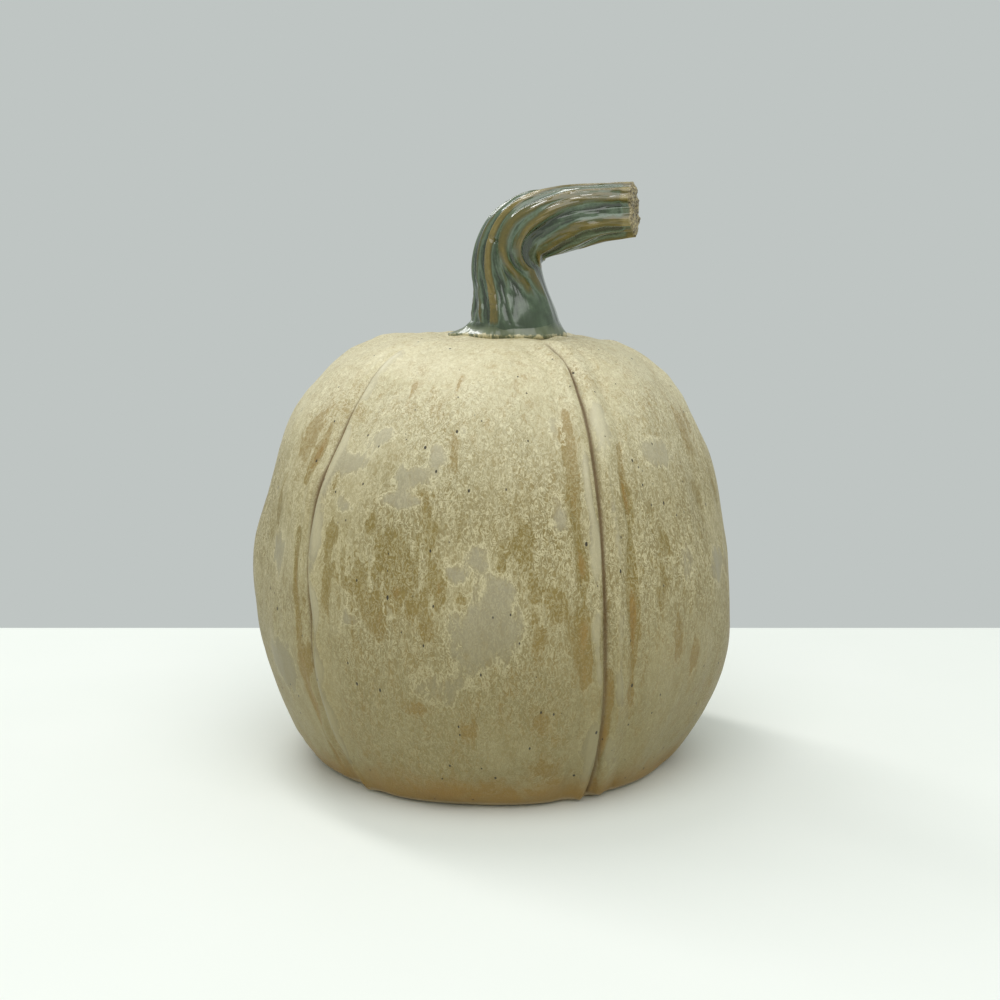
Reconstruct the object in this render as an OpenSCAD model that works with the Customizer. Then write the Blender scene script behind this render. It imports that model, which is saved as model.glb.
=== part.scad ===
// Hand-built ceramic pumpkin: a hollow lobed body closed by a floor slab,
// with a pulled, twisted stem set on the crown and a fillet of clay round its root.
// Origin: centre of the foot, on the table. +Z is up and the stem bends towards +X.

/* [Body] */
// Diameter across the lobes at the widest ring
body_d = 150; // [125:1:180]
// Height of the flat seat on the crown
body_h = 134; // [112:1:161]
// Average height of the widest ring
belly_h = 58; // [48:1:70]
// How much lower the widest ring lies on the +X side than the average
belly_tilt = 3.5; // [0:0.5:6]
// Diameter of the foot on the table
foot_d = 112; // [92:1:122]
// Thickness of the clay wall at the bottom of a groove
wall_t = 5; // [4:0.5:8]
// Width of the small bevel round the foot
foot_bevel = 1.2; // [0.6:0.2:2]

/* [Grooves] */
// Direction of each groove, in degrees from +X, going round the body
groove_dirs = [-135, -65, 8, 80, 153];
// How far each groove swings sideways at the foot and the crown, in degrees
groove_swing = [2, 3.5, -3, 2.5, -2.5];
// Depth of the wide pressed channel
channel_depth = 1.6; // [0.6:0.1:2.4]
// Half-width of the wide pressed channel
channel_w = 6; // [4:0.5:9]
// Depth of the fine crease along the channel
crease_depth = 1.2; // [0.4:0.1:2]
// Half-width of the fine crease
crease_w = 1.6; // [1:0.1:2.5]

/* [Floor] */
// Thickness of the floor slab
floor_t = 7; // [4:0.5:10]
// Diameter of the vent hole through the floor slab
vent_d = 5; // [3:0.5:8]
// Distance of the vent hole from the centre
vent_offset = 22; // [10:1:30]

/* [Stem] */
// Average diameter of the column at its root
root_d = 28; // [23:0.5:34]
// Average diameter round the bend
bend_d = 21.6; // [18:0.2:26]
// Average diameter of the torn end
tip_d = 16.4; // [13:0.2:20]
// Sideways place of the stem's root, towards the arm
root_offset = 7.6; // [0:0.2:9]
// Length of the column below the bend
column_len = 18; // [14:0.2:22]
// Length of the arm past the bend
arm_len = 30; // [20:0.5:36]
// Gap between the bend's centre and the stem's inner side
bend_gap = 1.6; // [1.2:0.1:4]
// Backward lean of the column, in degrees
column_lean = 10.4; // [0:0.2:13]
// Upward slope of the arm where it leaves the bend, in degrees
arm_slope = 13; // [0:0.5:18]
// How far the arm droops from that slope by its end, in degrees
arm_droop = 10; // [1:0.5:15]
// Turn of the arm about the vertical, in degrees
arm_turn = -13; // [-30:1:30]
// Number of ribs pulled along the stem
rib_count = 9; // [6:1:12]
// Height of the ribs
rib_h = 0.9; // [0.3:0.1:1.4]
// Twist of the ribs from root to tip, in degrees
rib_twist = -110; // [-150:5:0]

/* [Fillet] */
// Height of the fillet of clay round the root
fillet_h = 4.2; // [3:0.2:6]
// Average reach of the fillet over the crown
fillet_reach = 4.2; // [3:0.2:6]
// Extra reach on the side away from the arm
fillet_skew = 2.4; // [0:0.2:3]
// Thickness of the fillet's upper lip
lip_t = 0.7; // [0.5:0.1:1]
// Margin of flat crown left round the fillet
seat_margin = 1.5; // [0.5:0.5:4]

/* [Hidden] */

body_r = body_d / 2;
foot_r = foot_d / 2;
seat_r = root_offset + root_d / 2 + rib_h + fillet_reach + seat_margin;
groove_depth = channel_depth + crease_depth;
slab_r = foot_r - wall_t - groove_depth;

// Powers that shape the profile: round shoulder, nearly flat crown, straighter lower side
foot_power = 2.41;
shoulder_power = 2.22;
crown_power = 1.79;

// Grid of the body: points per lobe, crowding towards the grooves, rings below and above the belly
lobe_pts = 18;
crowding = 0.86;
low_rings = 13;
high_rings = 21;
groove_fade = 14;  // the grooves fade out over this distance from the seat

lobes = len(groove_dirs);
body_pts = lobes * lobe_pts;

function mix(a, b, t) = a + (b - a) * t;
function smooth(t) = let (c = min(1, max(0, t))) c * c * (3 - 2 * c);

// The profile as [radius, height], from t = 0 at the bevelled foot, through 1 at the belly, to 2 at the seat.
function low_profile(t, r, foot, z0, belly) =
    [r - (r - foot) * pow(1 - t, foot_power), z0 + (belly - z0) * t];
function high_profile(t, r, top, belly) =
    [seat_r + (r - seat_r) * pow(cos(90 * t), 2 / shoulder_power),
     belly + (top - belly) * pow(sin(90 * t), 2 / crown_power)];
function profile(t, dir) =
    let (belly = belly_h - belly_tilt * cos(dir))
    t < 1 ? low_profile(t, body_r, foot_r, foot_bevel, belly) : high_profile(min(1, t - 1), body_r, body_h, belly);
function profile_normal(t, dir) =
    let (d = profile(min(2, t + 0.01), dir) - profile(max(0, t - 0.01), dir))
    [d[1], -d[0]] / norm(d);

// The direction of groove i at t; past the last groove it is the first one a turn further on.
function groove_dir(i, t) =
    groove_dirs[i % lobes] + 360 * floor(i / lobes) + groove_swing[i % lobes] * pow(t - 1, 2);
function groove_cut(d) = channel_depth * exp(-pow(d / channel_w, 2)) + crease_depth * exp(-pow(d / crease_w, 2));

function body_point(k, t) =
    let (
        i = floor(k / lobe_pts),
        share = (k % lobe_pts) / lobe_pts,
        start = groove_dir(i, t),
        end = groove_dir(i + 1, t),
        dir = mix(start, end, share - crowding * sin(360 * share) / (2 * PI)),
        p = profile(t, dir),
        reach = min(dir - start, end - dir) * PI / 180 * p[0],
        cut = groove_cut(reach) * smooth((p[0] - seat_r) / groove_fade),
        q = p - cut * profile_normal(t, dir)
    )
    [q[0] * cos(dir), q[0] * sin(dir), q[1]];

// Joins rings of n points into one closed surface; the first and last points are the middles of the ends.
function ring_faces(rings, n) = [
    for (k = [0 : n - 1]) [0, 1 + k, 1 + (k + 1) % n],
    for (j = [0 : rings - 2], k = [0 : n - 1])
        let (a = 1 + j * n + k, b = 1 + j * n + (k + 1) % n)
        each [[a, a + n, b], [b, a + n, b + n]],
    for (k = [0 : n - 1])
        let (last = 1 + (rings - 1) * n)
        [last + k, last + n, last + (k + 1) % n]
];

body_steps = [
    for (j = [0 : low_rings - 1]) j / low_rings,
    for (j = [0 : high_rings]) 1 + j / high_rings
];

module body_form() {
    foot_ring = [for (k = [0 : body_pts - 1]) let (p = body_point(k, 0)) [
        p[0] * (1 - foot_bevel / foot_r),
        p[1] * (1 - foot_bevel / foot_r),
        0
    ]];
    points = [
        [0, 0, 0],
        each foot_ring,
        for (t = body_steps, k = [0 : body_pts - 1]) body_point(k, t),
        [0, 0, body_h]
    ];
    polyhedron(points, ring_faces(len(body_steps) + 1, body_pts));
}

// The hollow keeps the wall's thickness inside the deepest groove, and opens to the slab's seat below.
module hollow() {
    inset = wall_t + groove_depth;
    low = [for (j = [0 : 8]) low_profile(j / 9, body_r - inset, foot_r - inset, 0, belly_h)];
    high = [for (j = [0 : 14]) high_profile(j / 14, body_r - inset, body_h - inset, belly_h)];
    outline = [
        [0, floor_t],
        each [for (p = low) if (p[1] > floor_t) p],
        each high,
        [0, body_h - inset]
    ];
    rotate_extrude($fn = 96) polygon(outline);
    translate([0, 0, -1]) cylinder(h = floor_t + 1, r = slab_r, $fn = 96);
}

module body_shell() {
    color([0.80, 0.75, 0.62])
    difference() {
        body_form();
        hollow();
    }
}

module floor_slab() {
    color([0.86, 0.80, 0.70])
    difference() {
        cylinder(h = floor_t, r = slab_r, $fn = 96);
        translate([0, vent_offset, -1]) cylinder(h = floor_t + 2, d = vent_d, $fn = 48);
    }
}

// The stem follows one curve: a leaning column, a tight arc and a gently drooping arm.
// Headings are in degrees from the level.
stem_pts = 63;
stem_rings = 36;
collar_rings = 4;
bend_r = bend_gap + bend_d / 2 + rib_h;
start_heading = 90 + column_lean;
bend_turn = start_heading - arm_slope;
bend_len = bend_r * bend_turn * PI / 180;
stem_len = column_len + bend_len + arm_len;

function bend_heading(s) = start_heading - bend_turn * min(1, max(0, (s - column_len) / bend_len));
function arm_heading(s) = arm_slope - arm_droop * max(0, (s - column_len - bend_len) / arm_len);
function heading(s) = s < column_len + bend_len ? bend_heading(s) : arm_heading(s);
function arc_shift(r, h0, h) = r * [sin(h0) - sin(h), cos(h) - cos(h0)];
function stem_centre(s) =
    [root_offset, body_h]
    + min(s, column_len) * [cos(start_heading), sin(start_heading)]
    + arc_shift(bend_r, start_heading, bend_heading(s))
    + arc_shift(arm_len / (arm_droop * PI / 180), arm_slope, arm_heading(s));

// Rings start level on the crown and turn square to the curve by the end of the column.
function ring_heading(s) = mix(90, heading(s), smooth(s / column_len));
function stem_radius(s) =
    let (
        up = smooth(s / column_len),
        along = smooth((s - column_len - bend_len / 2) / (stem_len - column_len - bend_len / 2))
    )
    mix(mix(root_d, bend_d, up), tip_d, along) / 2;

function rib(phi, s) = rib_h * cos(rib_count * (phi - rib_twist * s / stem_len));
function stem_point(k, s, extra = 0) =
    let (
        phi = 360 * k / stem_pts,
        r = stem_radius(s) + rib(phi, s) + extra,
        h = ring_heading(s),
        c = stem_centre(s),
        u = c[0] + r * cos(phi) * sin(h) - root_offset,
        side = r * sin(phi)
    )
    [
        root_offset + u * cos(arm_turn) - side * sin(arm_turn),
        u * sin(arm_turn) + side * cos(arm_turn),
        c[1] - r * cos(phi) * cos(h)
    ];
function stem_axis_point(s) =
    let (c = stem_centre(s), u = c[0] - root_offset)
    [root_offset + u * cos(arm_turn), u * sin(arm_turn), c[1]];

// Lower rings of the stem are shared with the fillet, so that the two meet face to face.
stem_steps = [
    for (j = [0 : collar_rings]) fillet_h * j / collar_rings,
    for (j = [1 : stem_rings - collar_rings]) mix(fillet_h, stem_len, j / (stem_rings - collar_rings))
];

module stem() {
    color([0.38, 0.45, 0.36]) {
        points = [
            stem_axis_point(0),
            for (s = stem_steps, k = [0 : stem_pts - 1]) stem_point(k, s),
            stem_axis_point(stem_len)
        ];
        polyhedron(points, ring_faces(len(stem_steps), stem_pts));
    }
}

// The fillet is thickest at its foot, where it smooths the ribs away, and reaches furthest behind the column.
function fillet_t(k, j) =
    let (
        phi = 360 * k / stem_pts,
        up = j / collar_rings,
        reach = fillet_reach - fillet_skew * cos(phi) - rib(phi, fillet_h * up)
    )
    mix(reach, lip_t, 1 - pow(1 - up, 2));

module stem_collar() {
    color([0.45, 0.55, 0.45]) {
        n = stem_pts;
        rings = collar_rings + 1;
        points = [
            for (j = [0 : collar_rings], k = [0 : n - 1]) stem_point(k, fillet_h * j / collar_rings),
            for (j = [0 : collar_rings], k = [0 : n - 1])
                stem_point(k, fillet_h * j / collar_rings, fillet_t(k, j))
        ];
        // a closed loop of rings: up the inner side and down the outer side
        loop = [for (j = [0 : rings - 1]) j, for (j = [0 : rings - 1]) 2 * rings - 1 - j];
        faces = [
            for (m = [0 : len(loop) - 1], k = [0 : n - 1])
                let (
                    a = loop[m] * n,
                    b = loop[(m + 1) % len(loop)] * n,
                    k2 = (k + 1) % n
                )
                each [[a + k, a + k2, b + k], [a + k2, b + k2, b + k]]
        ];
        polyhedron(points, faces);
    }
}

body_shell();
floor_slab();
stem();
stem_collar();
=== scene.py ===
import math
import bpy
import mathutils
import numpy as np
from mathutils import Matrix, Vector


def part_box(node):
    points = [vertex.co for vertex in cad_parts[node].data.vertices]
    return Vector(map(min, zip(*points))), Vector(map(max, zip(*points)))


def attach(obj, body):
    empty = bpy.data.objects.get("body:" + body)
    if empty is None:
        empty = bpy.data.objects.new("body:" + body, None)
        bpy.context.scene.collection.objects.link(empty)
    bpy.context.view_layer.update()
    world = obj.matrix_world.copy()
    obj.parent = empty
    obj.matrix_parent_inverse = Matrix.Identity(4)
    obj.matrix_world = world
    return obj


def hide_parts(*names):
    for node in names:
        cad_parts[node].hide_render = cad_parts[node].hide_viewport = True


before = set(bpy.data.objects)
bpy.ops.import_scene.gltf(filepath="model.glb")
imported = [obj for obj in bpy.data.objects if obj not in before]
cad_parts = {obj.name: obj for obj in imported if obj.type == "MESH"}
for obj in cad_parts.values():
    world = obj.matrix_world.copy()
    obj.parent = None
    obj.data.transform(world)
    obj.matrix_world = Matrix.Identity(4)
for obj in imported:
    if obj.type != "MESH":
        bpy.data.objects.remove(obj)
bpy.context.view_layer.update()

mm = 0.001  # sizes below are in millimetres and angles in degrees, unless they say otherwise
fullTurn = 2 * math.pi
tiny = 1e-9  # keeps a division from failing
print("frame loaded")


# Soft step: 0 below 0, 1 above 1, and three t squared less two t cubed between.
def softStep(t):
    t = np.clip(t, 0, 1)
    return t * t * (3 - 2 * t)


# Bell curve: e to the minus (x over width) squared.
def bell(x, width):
    return np.exp(-(x / width) ** 2)


# Flat-topped bell: one over one plus the eighth power of x over width.
def flatBell(x, width):
    return 1 / (1 + (x / width) ** 8)


# Straight blend: a, plus a share of the way from a to b.
def mix(a, b, share):
    return a + (b - a) * share


# Angle wrapped to lie between minus and plus half a turn.
def wrap(angle):
    return (angle + math.pi) % fullTurn - math.pi


# Smooth random field: the sum of many plane waves of about one size, with random directions and phases,
# over the square root of half their number, so it comes out near zero on average with a spread of about
# one. Stretch lengthens it along Z, and pace is how much shorter and longer than the size the waves are.
def waveField(points, size, seed, stretch=1.0, waves=28, pace=(0.6, 1.5)):
    dice = np.random.default_rng(seed)
    aim = dice.normal(size=(waves, 3))
    aim /= np.linalg.norm(aim, axis=1, keepdims=True)
    aim *= dice.uniform(*pace, (waves, 1)) * fullTurn / size
    aim[:, 2] /= stretch
    phase = dice.uniform(0, fullTurn, waves)
    flat = points.reshape(-1, 3)
    total = np.zeros(len(flat))
    for wave, start in zip(aim, phase):
        total += np.cos(flat @ wave + start)
    return (total / math.sqrt(waves / 2)).reshape(points.shape[:-1])


# A mesh from rings of points, each ring closed on itself. With no poles given the list of rings closes on
# itself too; otherwise its two ends are closed to the points firstPole and lastPole.
def ringMesh(name, rings, firstPole=None, lastPole=None, marks=None):
    ringCount, ringSize = rings.shape[:2]
    index = np.arange(ringCount * ringSize).reshape(ringCount, ringSize)
    closed = firstPole is None
    lower = index if closed else index[:-1]
    upper = np.roll(index, -1, axis=0) if closed else index[1:]
    quads = np.stack([lower, np.roll(lower, -1, 1), np.roll(upper, -1, 1), upper], axis=-1).reshape(-1, 4)
    points = rings.reshape(-1, 3)
    fans = np.zeros((0, 3), int)
    if not closed:
        first = np.full(ringSize, len(points))
        last = first + 1
        start, end = index[0], index[-1]
        fans = np.concatenate([
            np.stack([first, np.roll(start, -1), start], axis=-1),
            np.stack([end, np.roll(end, -1), last], axis=-1)])
        points = np.concatenate([points, [firstPole, lastPole]])
    corners = np.concatenate([quads.ravel(), fans.ravel()])
    sizes = np.concatenate([np.full(len(quads), 4), np.full(len(fans), 3)])
    mesh = bpy.data.meshes.new(name)
    mesh.vertices.add(len(points))
    mesh.vertices.foreach_set("co", (points * mm).astype(np.float32).ravel())
    mesh.loops.add(len(corners))
    mesh.loops.foreach_set("vertex_index", corners.astype(np.int32))
    mesh.polygons.add(len(sizes))
    mesh.polygons.foreach_set("loop_start", (np.cumsum(sizes) - sizes).astype(np.int32))
    mesh.update(calc_edges=True)
    mesh.validate()
    mesh.polygons.foreach_set("use_smooth", np.ones(len(sizes), bool))
    for key, values in (marks or {}).items():
        flat = values.ravel()
        if not closed:
            flat = np.append(flat, [values[0].mean(), values[-1].mean()])
        layer = mesh.attributes.new(key, "FLOAT", "POINT")
        layer.data.foreach_set("value", flat.astype(np.float32))
    piece = bpy.data.objects.new(name, mesh)
    bpy.context.scene.collection.objects.link(piece)
    return piece


# Outward directions of a grid of points: the cross product of its two tangents, made one long.
def gridNormals(rings):
    around = np.roll(rings, -1, 1) - np.roll(rings, 1, 1)
    along = np.gradient(rings, axis=0)
    normal = np.cross(around, along)
    return normal / np.maximum(np.linalg.norm(normal, axis=-1, keepdims=True), tiny)


# Shrinks points towards an anchor until they lie inside a box: on each side by the box's reach over their
# own, where they reach further than the least reach, which is in millimetres.
def fitInside(points, anchor, low, high, least=0.01):
    away = points - anchor
    flat = away.reshape(-1, 3)
    factor = np.ones(3)
    for reach, limit in ((-flat.min(0), anchor - low), (flat.max(0), high - anchor)):
        far = reach > least
        factor[far] = np.minimum(factor, limit / np.maximum(reach, least))[far]
    return anchor + away * factor


# The body's outline, wall, mesh, foot and grooves, and the fields that make it look shaped by hand.
body = {
    "foot": 56.0, "belly": 58.0, "bellyTilt": 3.5, "seat": 26.0, "wall": 5.0, "grooveRoom": 2.8, "seed": 11,
    "footPower": 2.41, "shoulderPower": 2.22, "crownPower": 1.79,
    "ringsBelow": 62, "ringsAbove": 100, "ringCrowding": 0.92, "pointsPerLobe": 100, "crowding": 0.72,
    "crownRings": 12, "innerRings": 14, "innerStart": 0.12,
    "footRound": 1.4, "footLifts": (0.55, 0.385, 0.1925), "footDraw": 0.25, "footInsets": (0.35, 1.2, 3.0),
    "creaseDepth": 1.25, "steepSide": 0.5, "easySide": 1.1, "creaseLine": 0.6, "creaseShift": 0.5,
    "grooveWander": 0.35, "wanderPaces": (3.1, 7.3), "wanderLag": 1.7, "grooveGap": 1, "grooveFade": 14,
    "wobble": 0.65, "wobbleSize": 52, "ripple": 0.2, "rippleSize": 21, "flow": 0.07, "flowSize": 7,
    "footFade": 6, "seatFade": 8, "footWave": 0.35, "footWaveSize": 34, "footWaveTop": 12, "smoothRise": 0.08,
    "crownLumps": 0.38, "lumpSize": 15, "lumpReach": 34, "lumpFade": 9,
    "amberTop": 124, "amberFade": 30, "bareFoot": 1.3,
}
# How the bands beside a groove vary along it: the sizes of the fields that swell and fray them, what those
# fields and a slow wave do to a band's place, width and strength, and the length over which its ends fade.
bandDrift = {
    "swellSize": 26, "swellStretch": 1.3, "fraySize": 11, "frayStretch": 1.6, "shift": 0.45, "fade": 9,
    "widthWave": 0.35, "widthPace": 0.13, "widthFray": 0.2,
    "strength": 0.8, "strengthWave": 0.3, "strengthPace": 0.17, "strengthFray": 0.3,
}
# Each groove: its direction from +X, how far it swings at foot and crown, and which side laps over it (1 is
# the anticlockwise side). Its bands run along it: place across, half-width and height in mm, amber share
# (less than nothing is a raised ridge of calm glaze, lightened towards cream as a painted highlight), and
# the heights between which that share holds.
grooves = [
    (-135, 2.0, 1, [
        (-5.2, 1.3, -0.35, 1.3, 4, 118), (-1.9, 1.8, -0.95, 0.4, 4, 130), (2.6, 1.5, 0.75, -1.0, 4, 134),
        (7.5, 2.4, -0.25, 0.2, 52, 96)]),
    (-65, 3.5, -1, [
        (-7.2, 1.9, -0.6, 1.25, 34, 118), (-2.8, 1.7, 0.9, -0.9, 3, 118), (1.4, 1.0, -0.5, 1.35, -9, 62),
        (4.2, 2.0, 0.75, -0.9, 10, 122), (9.4, 1.5, -0.6, 1.5, 28, 114)]),
    (8, -3.0, 1, [
        (-8, 1.6, -0.5, 0.9, 20, 96), (-3.2, 1.8, 0.4, -0.8, 6, 120), (2.8, 1.8, 0.65, -0.9, 6, 126),
        (9.5, 1.8, -0.4, 0.7, 44, 104)]),
    (80, 2.5, -1, [
        (-9, 1.5, -0.4, 0.8, 50, 112), (-3.0, 1.8, 0.6, -0.9, 6, 124), (1.0, 0.9, -0.3, 1.0, -9, 48),
        (3.8, 2.0, 0.4, -0.8, 8, 118), (8.8, 1.4, -0.6, 1.0, 26, 90)]),
    (153, -2.5, 1, [
        (-7.5, 1.5, -0.6, 1.0, 12, 110), (-3.2, 1.8, 0.4, -0.8, 6, 120), (3.0, 1.9, 0.65, -0.9, 6, 126),
        (10, 2.0, -0.3, 0.6, 60, 100)]),
]
# Soft dents left by the potter's fingers: direction, height, half-width, half-height and depth.
dents = [
    (-111, 95, 11, 5, 0.8), (-128, 101, 7, 8, 0.7), (-120, 120, 9, 5, 0.6), (-103, 107, 6, 9, 0.6),
    (-95, 86, 8, 10, 0.4), (-75, 108, 9, 9, 0.5), (-45, 102, 11, 12, 0.6), (-92, 54, 18, 16, -0.5),
    (40, 95, 10, 8, 0.7), (55, 60, 9, 12, 0.5), (118, 100, 9, 7, 0.7), (105, 48, 12, 10, 0.5),
    (180, 92, 10, 8, 0.7), (200, 60, 12, 14, 0.5),
]
# Where the glaze ran thin and broke to amber: direction, height, half-width, half-height and strength.
amberMarks = [
    (-99, 103, 1, 5, 0.9), (-105, 94, 4, 1, 0.6), (-104, 89, 1.5, 4, 0.6), (-118, 85, 1.5, 3, 0.6),
    (-128, 81, 4, 4, 0.6), (-131, 96, 1, 4, 0.8), (-114, 77, 2, 4, 0.8), (-123, 68, 3, 2, 0.7),
    (-111, 67, 2, 3, 1.3), (-101, 69, 1.3, 4, 1.3), (-107, 63, 2, 3, 0.8), (-104, 57, 1.6, 3.5, 1.1),
    (-115, 58, 1.4, 5, 1.0), (-88, 75, 2, 4, 0.7), (-96, 66, 1.5, 2, 0.6), (-129, 65, 1.6, 8, 0.35),
    (-110, 76, 9, 8, 0.45), (-124, 74, 8, 8, 0.4), (-103, 66, 7, 8, 0.35), (-117, 63, 8, 8, 0.35),
    (-84, 81, 3, 8, 0.5), (-80, 55, 2.5, 5, 0.6), (-76, 64, 3, 6, 0.6), (-81, 68, 4, 7, 0.4),
    (-115, 121, 1, 4, 0.8), (-100, 122, 1, 3, 0.7), (-69, 111, 1.4, 9, 0.7), (-47, 78, 2, 3, 0.8),
    (-49, 69, 1.6, 4, 0.7), (-44, 49, 1.8, 7, 1.3), (-37, 43, 1.8, 7, 1.0), (-50, 62, 1.4, 4, 1.0),
    (-106, 34, 3, 2, 0.6), (-95, 28, 3, 3, 0.7), (-77, 14, 5, 5, 0.5), (-79, 30, 4, 4, 0.5),
    (-88, 7, 18, 3, 0.4),
]
# Where it lies thick and smooth.
smoothMarks = [
    (-128, 101, 5, 3, 1.1), (-111, 92, 7, 2.2, 1.1), (-109, 98, 6, 3, 1.0), (-103, 104, 3, 3, 0.9),
    (-126, 89, 3.5, 2, 0.7), (-122, 58, 4, 3, 0.7), (-92, 55, 11, 10, 0.9), (-88, 69, 4, 7, 0.6),
    (-98, 73, 4, 3, 0.8), (-93, 78, 3, 4, 0.7), (-113, 62, 3, 4, 0.8), (-75, 89, 3, 6, 0.8),
    (-97, 110, 3, 2, 0.6), (-119, 109, 6, 3, 0.8), (-42, 103, 9, 5, 0.9), (-72, 110, 4, 5, 0.6),
    (-103, 40, 13, 7, 0.5), (-40, 71, 5, 8, 0.6),
]
# On the lobes that no list above reaches, marks are strewn at random between these directions and heights.
# Each kind has its count and its largest half-width and half-height, and the shares are the least a mark
# has of them.
strewn = {
    "from": -25, "to": 215, "low": 30, "high": 112, "seed": 5,
    "amber": 46, "amberSize": (4.5, 10), "smooth": 22, "smoothSize": (10, 10),
    "widthShare": 0.3, "heightShare": 0.4, "strengthShare": 0.5,
}

bodyLow, bodyHigh = [np.array(corner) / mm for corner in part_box("body_shell")]
slabLow, slabHigh = [np.array(corner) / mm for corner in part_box("floor_slab")]
body["radius"] = (bodyHigh[0] - bodyLow[0]) / 2
body["crown"] = bodyHigh[2]
slabRadius = (slabHigh[0] - slabLow[0]) / 2
lobeCount = len(grooves)


# Marks of one kind strewn at random, each a direction, a height, a half-width and half-height, and a
# strength.
def strewMarks(kind, seed):
    dice = np.random.default_rng(seed)
    count = strewn[kind]
    width, height = strewn[kind + "Size"]
    return np.stack([
        dice.uniform(strewn["from"], strewn["to"], count),
        dice.uniform(strewn["low"], strewn["high"], count),
        dice.uniform(strewn["widthShare"], 1, count) * width,
        dice.uniform(strewn["heightShare"], 1, count) * height,
        dice.uniform(strewn["strengthShare"], 1, count)], axis=-1)


# Profile of the body, by t, which is 0 at the foot, 1 at the widest ring and 2 at the stem's seat. Below
# the belly the radius falls as a power of the depth; above it, radius and height follow a rounded quarter,
# with a power for each.
def bodyProfile(t, direction):
    belly = body["belly"] - body["bellyTilt"] * np.cos(direction)
    low = np.clip(t, 0, 1)
    high = np.clip(t - 1, 0, 1) * math.pi / 2
    lowRadius = body["radius"] - (body["radius"] - body["foot"]) * (1 - low) ** body["footPower"]
    highRadius = mix(body["seat"], body["radius"], np.cos(high) ** (2 / body["shoulderPower"]))
    highLevel = mix(belly, body["crown"], np.sin(high) ** (2 / body["crownPower"]))
    return np.where(t < 1, lowRadius, highRadius), np.where(t < 1, belly * low, highLevel)


# Directions of the columns, crowded towards the grooves by a sine, with each one's angle from its nearest
# groove and which groove that is. A groove swings by the square of t's distance from the belly, and wanders
# by the sum of a slow sine and half a fast one.
def bodyColumns(t):
    count = body["pointsPerLobe"]
    column = np.arange(lobeCount * count)
    lobe, share = column // count, (column % count) / count
    share = share - body["crowding"] * np.sin(fullTurn * share) / fullTurn
    aim = np.radians([groove[0] for groove in grooves] + [grooves[0][0] + 360])
    swing = np.radians([groove[1] for groove in grooves] + [grooves[0][1]])
    slow, fast = body["wanderPaces"]
    lag = body["wanderLag"] * np.arange(lobeCount)
    wander = np.sin(slow * t[:, None] + lag) + 0.5 * np.sin(fast * t[:, None] + lag * 1.4)
    wander = np.concatenate([wander, wander[:, :1]], axis=1) * math.radians(body["grooveWander"])
    edges = aim + swing * (t[:, None] - 1) ** 2 + wander
    start, end = edges[:, lobe], edges[:, lobe + 1]
    direction = mix(start, end, share)
    nearStart = direction - start < end - direction
    fromGroove = np.where(nearStart, direction - start, direction - end)
    return direction, fromGroove, np.where(nearStart, lobe, (lobe + 1) % lobeCount)


# Across a groove at distance d: a crease, steep under the lapping lobe and easy on the other side, plus a
# bell of its own height and amber share for each band. Bands swell, fade and drift along the groove by
# random fields.
def grooveRelief(points, d, which):
    relief, amber, pale, crease = [np.zeros(d.shape) for _ in range(4)]
    level = points[..., 2]
    swell = waveField(points, bandDrift["swellSize"], body["seed"] + 20, bandDrift["swellStretch"])
    ragged = waveField(points, bandDrift["fraySize"], body["seed"] + 21, bandDrift["frayStretch"])
    for number, (_, _, lap, bands) in enumerate(grooves):
        here = which == number
        cut = np.where(d * lap > 0, bell(d, body["steepSide"]), bell(d, body["easySide"])) * here
        relief -= body["creaseDepth"] * cut
        crease += bell(d + body["creaseShift"] * lap, body["creaseLine"]) * here
        for place, halfWidth, height, share, low, high in bands:
            widthWave = bandDrift["widthWave"] * np.cos(level * bandDrift["widthPace"] + place)
            spreadOut = halfWidth * (1 + widthWave + bandDrift["widthFray"] * ragged)
            band = bell(d - place - bandDrift["shift"] * swell, spreadOut) * here
            relief += height * band
            held = softStep((level - low) / bandDrift["fade"]) * softStep((high - level) / bandDrift["fade"])
            strengthWave = bandDrift["strengthWave"] * np.cos(level * bandDrift["strengthPace"] + place)
            mottled = bandDrift["strength"] + strengthWave + bandDrift["strengthFray"] * ragged
            strength = abs(share) * held * mottled
            if share > 0:
                amber += strength * band
            else:
                pale += strength * band
    return relief, amber, pale, crease


# Sum of soft ellipses on the wall, each a bell in the distance round it over its half-width and in the
# height over its half-height.
def markField(direction, height, radius, marks):
    total = np.zeros(direction.shape)
    for aim, level, halfWidth, halfHeight, strength in marks:
        along = wrap(direction - math.radians(aim)) * radius / halfWidth
        total += strength * np.exp(-along ** 2 - ((height - level) / halfHeight) ** 2)
    return total


# The wall's inner side, from the slab's seat to the crown: the outer profile drawn in by the wall.
def innerWall(direction):
    inset = body["wall"] + body["grooveRoom"]
    aim = np.stack([np.cos(direction), np.sin(direction), 0 * direction], -1)
    seatRing = slabRadius * aim
    rings = [seatRing, seatRing + [0, 0, slabHigh[2]]]
    narrow = (body["radius"] - inset) / body["radius"]
    squat = (body["crown"] - inset - slabHigh[2]) / (body["crown"] - slabHigh[2])
    for step in np.linspace(body["innerStart"], 2, body["innerRings"]):
        radius, height = bodyProfile(np.full_like(direction, step), direction)
        level = np.maximum(slabHigh[2] + (height - slabHigh[2]) * squat, slabHigh[2])
        rings.append((radius * narrow)[:, None] * aim + level[:, None] * [0, 0, 1])
    return np.array(rings)


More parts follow.
